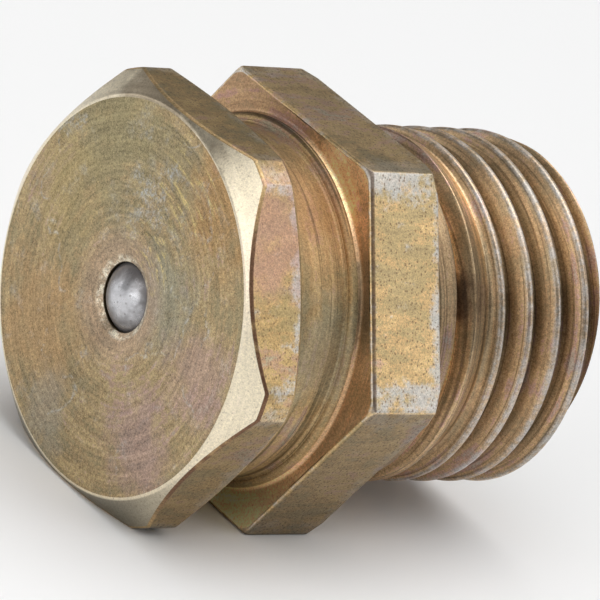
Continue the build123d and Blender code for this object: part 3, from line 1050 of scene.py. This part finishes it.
def shank_finish(colours):
    """Land, relief and thread: painted shade in the roots, on the land beside the hexagon and in one spot
    of the relief, painted light on the relief's floor, low down and along the thread's top, worn pale
    crests and lines along the helix.
    """
    plate = Plating("shank_plate", colours, thread_marks, (0.84, 0.75, 0.81), swing=1.2)
    crest = plate.times(plate.between(plate.radius, 4.77, 4.87, 0.0, 0.54),
                        plate.between(plate.x, 1.9, 2.4, 0.0, 1.0))
    # Painted light on the relief's floor, up to 2.7 times, and painted shade in the roots of the thread
    root = plate.between(plate.x, 1.7, 2.2, 2.7, 0.42)
    # Painted light low down, the painted tones of roots and relief, lines along the helix, a painted
    # highlight along the top, and painted shade on the land beside the hexagon
    for tone in (plate.between(plate.z, -4.8, -2.0, 1.25, 1.0),
                 plate.between(plate.radius, 4.33, 4.66, root, 1.15),
                 plate.between(plate.lines, 0.36, 0.50, 0.55, 1.08),
                 plate.between(plate.upward, 0.73, 0.86, 1.0, THREAD_TOP_PAINTED_HIGHLIGHT),
                 plate.between(plate.x, 1.05, 1.30, 0.60, 1.0)):
        plate.shade(tone)
    broken = plate.between(plate.noise(3.0, 3.0, 0.7, 71.0), 0.40, 0.60, 0.3, 1.0)
    crest = plate.times(crest, broken)
    # Painted shade in one spot of the relief
    plate.patches(LAND_PAINTED_SHADE_PATCHES)
    plate.cover(crest, colours.bloom, (0.95, 0.97, 1.0))
    return plate.closed(0.40, crest, anisotropy=0.3)


def bore_finish(colours):
    """Inside and threaded end, darker."""
    plate = Plating("bore_plate", colours, groove_marks, (0.55, 0.52, 0.50))
    return plate.closed(0.45)


def bright_steel(name, colour, roughness):
    """Plain polished steel with faint handling marks, and painted shade round its edge, dark and less
    metallic, centred a little off the axis toward -y.
    """
    finish = Finish(name)
    finish.colour = colour
    haze = finish.noise(2.6, 4.0, 0.65, 2.0)
    finish.cover(finish.between(haze, 0.42, 0.62, 0.0, 0.55), colour, (0.55, 0.54, 0.54))
    finish.cover(finish.pits(finish.face_skin, 4.0, 0.16, 0.5, 0.5), colour, (0.35, 0.33, 0.30))
    # Painted shade round the ball's edge, dark and less metallic
    aside = finish.plus(finish.y, 0.22)
    away = finish.math("SQRT", finish.plus(finish.times(aside, aside), finish.times(finish.z, finish.z)))
    painted_edge_shade = finish.between(finish.plus(away, finish.swung(haze, 0.5)), 0.28, 0.78, 0.0, 0.95)
    finish.cover(painted_edge_shade, colour, (0.24, 0.22, 0.21))
    finish.set("Base Color", finish.colour)
    finish.set("Metallic", finish.between(painted_edge_shade, 0.0, 1.0, 1.0, BLOOM_METAL))
    finish.set("Roughness", finish.between(haze, 0.3, 0.7, roughness * 0.8, roughness * 1.3))
    finish.bump(finish.noise(6.0, 2.0, 0.6, 4.0), STEEL_RELIEF, 0.6)
    return finish.material


def colour_of(name, description, default):
    """A colour that the user can change."""
    return FloatVectorProperty(name=name, description=description, default=default, subtype="COLOR")


class NippleColours(bpy.types.PropertyGroup):
    """Colours of the plating and of the bright parts."""

    olive: colour_of("Olive", "Passivate, dull green", (0.40, 0.335, 0.19))
    khaki: colour_of("Khaki", "Passivate, between olive and gold", (0.44, 0.365, 0.20))
    gold: colour_of("Gold", "Main colour of the passivate", (0.50, 0.375, 0.20))
    straw: colour_of("Straw", "Passivate, pale yellow", (0.57, 0.46, 0.24))
    pink: colour_of("Pink", "Passivate, iridescent pink", (0.50, 0.355, 0.26))
    mist: colour_of("Mist", "Passivate, grey-green", (0.43, 0.41, 0.31))
    bloom: colour_of("Bloom", "Pale, blue-grey zinc bloom", (0.60, 0.61, 0.61))
    cream: colour_of("Cream", "Pale plating of the front bevel", (0.80, 0.73, 0.58))
    pit: colour_of("Pits", "Small dark pits", (0.21, 0.135, 0.08))
    ball: colour_of("Ball", "Polished ball", (0.62, 0.62, 0.64))
    wire: colour_of("Wire", "Spring wire", (0.45, 0.45, 0.47))
    floor: colour_of("Floor", "Floor", (0.90, 0.90, 0.90))


# ---------------------------------------------------------------- operators


class NIPPLE_OT_body(bpy.types.Operator):
    """Build the plated body: head, neck, spanner hexagon and thread"""

    bl_idname = "nipple.build_body"
    bl_label = "Build body"

    def execute(self, context):
        vertices, faces, slots = body_mesh(context.scene.nipple_sizes)
        body = smooth_shaded("body_turned", vertices, faces)
        for finish in BODY_FINISHES:
            body.data.materials.append(finish(context.scene.nipple_colours))
        body.data.polygons.foreach_set("material_index", slots)
        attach(body, "body")
        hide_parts("nipple_body")
        return {"FINISHED"}


class NIPPLE_OT_ball(bpy.types.Operator):
    """Build the check ball"""

    bl_idname = "nipple.build_ball"
    bl_label = "Build ball"

    def execute(self, context):
        ball = smooth_shaded("ball_polished", *ball_mesh(context.scene.nipple_sizes))
        ball.data.materials.append(
            bright_steel("ball_steel_finish", context.scene.nipple_colours.ball, STEEL_ROUGHNESS))
        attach(ball, "ball")
        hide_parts("check_ball")
        return {"FINISHED"}


class NIPPLE_OT_spring(bpy.types.Operator):
    """Build the spring behind the ball"""

    bl_idname = "nipple.build_spring"
    bl_label = "Build spring"

    def execute(self, context):
        spring = smooth_shaded("spring_coiled", *spring_mesh(context.scene.nipple_sizes))
        spring.data.materials.append(
            bright_steel("spring_wire_finish", context.scene.nipple_colours.wire, STEEL_ROUGHNESS))
        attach(spring, "body")
        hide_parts("ball_spring")
        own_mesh(spring)
        return {"FINISHED"}


def build_floor(colour):
    """Wide floor under the nipple."""
    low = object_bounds()[0][2]
    mesh = bpy.data.meshes.new("floor")
    corners = [(x * FLOOR_REACH, y * FLOOR_REACH, low) for x, y in ((-1, -1), (1, -1), (1, 1), (-1, 1))]
    mesh.from_pydata(corners, [], [(0, 1, 2, 3)])
    floor = bpy.data.objects.new("floor", mesh)
    bpy.context.scene.collection.objects.link(floor)
    finish = Finish("floor_paper")
    finish.set("Base Color", tuple(colour))
    finish.set("Roughness", FLOOR_ROUGHNESS)
    mesh.materials.append(finish.material)
    floor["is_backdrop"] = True


def softbox(name, direction, distance, width, height, radiance):
    """A rectangular lamp of this radiance, facing the nipple from a direction."""
    lamp = bpy.data.lights.new(name, "AREA")
    lamp.shape = "RECTANGLE"
    lamp.size = width
    lamp.size_y = height
    lamp.energy = radiance * math.pi * width * height
    holder = bpy.data.objects.new(name, lamp)
    holder.location = Vector(direction).normalized() * distance
    holder.rotation_euler = holder.location.to_track_quat("Z", "Y").to_euler()
    holder.visible_camera = False
    bpy.context.scene.collection.objects.link(holder)


def room():
    """White surroundings, brighter toward one side."""
    world = bpy.data.worlds.new("studio")
    world.use_nodes = True
    nodes = world.node_tree.nodes
    fill = nodes["Background"]
    fill.inputs["Color"].default_value = (1, 1, 1, 1)
    toward = nodes.new("ShaderNodeVectorMath")
    toward.operation = "DOT_PRODUCT"
    toward.inputs[1].default_value = Vector(ROOM_BRIGHT_SIDE).normalized()
    level = nodes.new("ShaderNodeMapRange")
    for socket, number in zip(level.inputs[1:5], (*ROOM_RANGE, ROOM_DARK_LEVEL, ROOM_BRIGHT_LEVEL)):
        socket.default_value = number
    join = world.node_tree.links.new
    join(nodes.new("ShaderNodeTexCoord").outputs["Generated"], toward.inputs[0])
    join(toward.outputs["Value"], level.inputs["Value"])
    join(level.outputs[0], fill.inputs["Strength"])
    return world


def long_camera(sizes):
    """Camera with a long lens, placed from the centre of the face."""
    lens = bpy.data.cameras.new("camera")
    lens.sensor_width = SENSOR_WIDTH
    lens.lens = CAMERA_LENS
    lens.clip_start, lens.clip_end = CAMERA_CLIPS
    camera = bpy.data.objects.new("camera", lens)
    right = Vector(CAMERA_RIGHT).normalized()
    back = Vector(CAMERA_BACK)
    back = (back - back.dot(right) * right).normalized()
    turn = Matrix((right, back.cross(right), back)).transposed()
    face_centre = Vector((-Stations(sizes).seat * MM, 0, 0))
    to_face = turn @ (Vector(FACE_FROM_CAMERA) * MM)
    camera.matrix_world = Matrix.Translation(face_centre - to_face) @ turn.to_4x4()
    bpy.context.scene.collection.objects.link(camera)
    return camera


class NIPPLE_OT_stage(bpy.types.Operator):
    """Set up the floor, the lamps and the camera"""

    bl_idname = "nipple.build_stage"
    bl_label = "Build stage"

    def execute(self, context):
        scene = context.scene
        build_floor(scene.nipple_colours.floor)
        for lamp in SOFTBOXES:
            softbox(*lamp)
        scene.world = room()
        scene.camera = long_camera(scene.nipple_sizes)
        scene.view_settings.view_transform = "Standard"
        return {"FINISHED"}


class NIPPLE_PT_panel(bpy.types.Panel):
    """Sizes, colours and building steps of the nipple"""

    bl_label = "Grease nipple"
    bl_idname = "NIPPLE_PT_panel"
    bl_space_type = "VIEW_3D"
    bl_region_type = "UI"
    bl_category = "Nipple"

    def draw(self, context):
        layout = self.layout
        for group in (context.scene.nipple_sizes, context.scene.nipple_colours):
            for name in group.__annotations__:
                layout.prop(group, name)
        for step in STEPS:
            layout.operator(step.bl_idname)


BODY_FINISHES = (face_finish, bevel_finish, edge_finish, head_flat_finish, groove_finish, shoulder_finish,
                 hexagon_finish, shank_finish, bore_finish)
STEPS = (NIPPLE_OT_body, NIPPLE_OT_ball, NIPPLE_OT_spring, NIPPLE_OT_stage)
CLASSES = (NippleSizes, NippleColours, *STEPS, NIPPLE_PT_panel)


def register():
    for item in CLASSES:
        bpy.utils.register_class(item)
    bpy.types.Scene.nipple_sizes = PointerProperty(type=NippleSizes)
    bpy.types.Scene.nipple_colours = PointerProperty(type=NippleColours)


def unregister():
    del bpy.types.Scene.nipple_colours
    del bpy.types.Scene.nipple_sizes
    for item in reversed(CLASSES):
        bpy.utils.unregister_class(item)


def main():
    register()
    bpy.ops.nipple.build_body()
    bpy.ops.nipple.build_ball()
    bpy.ops.nipple.build_spring()
    bpy.ops.nipple.build_stage()


if __name__ == "__main__":
    main()
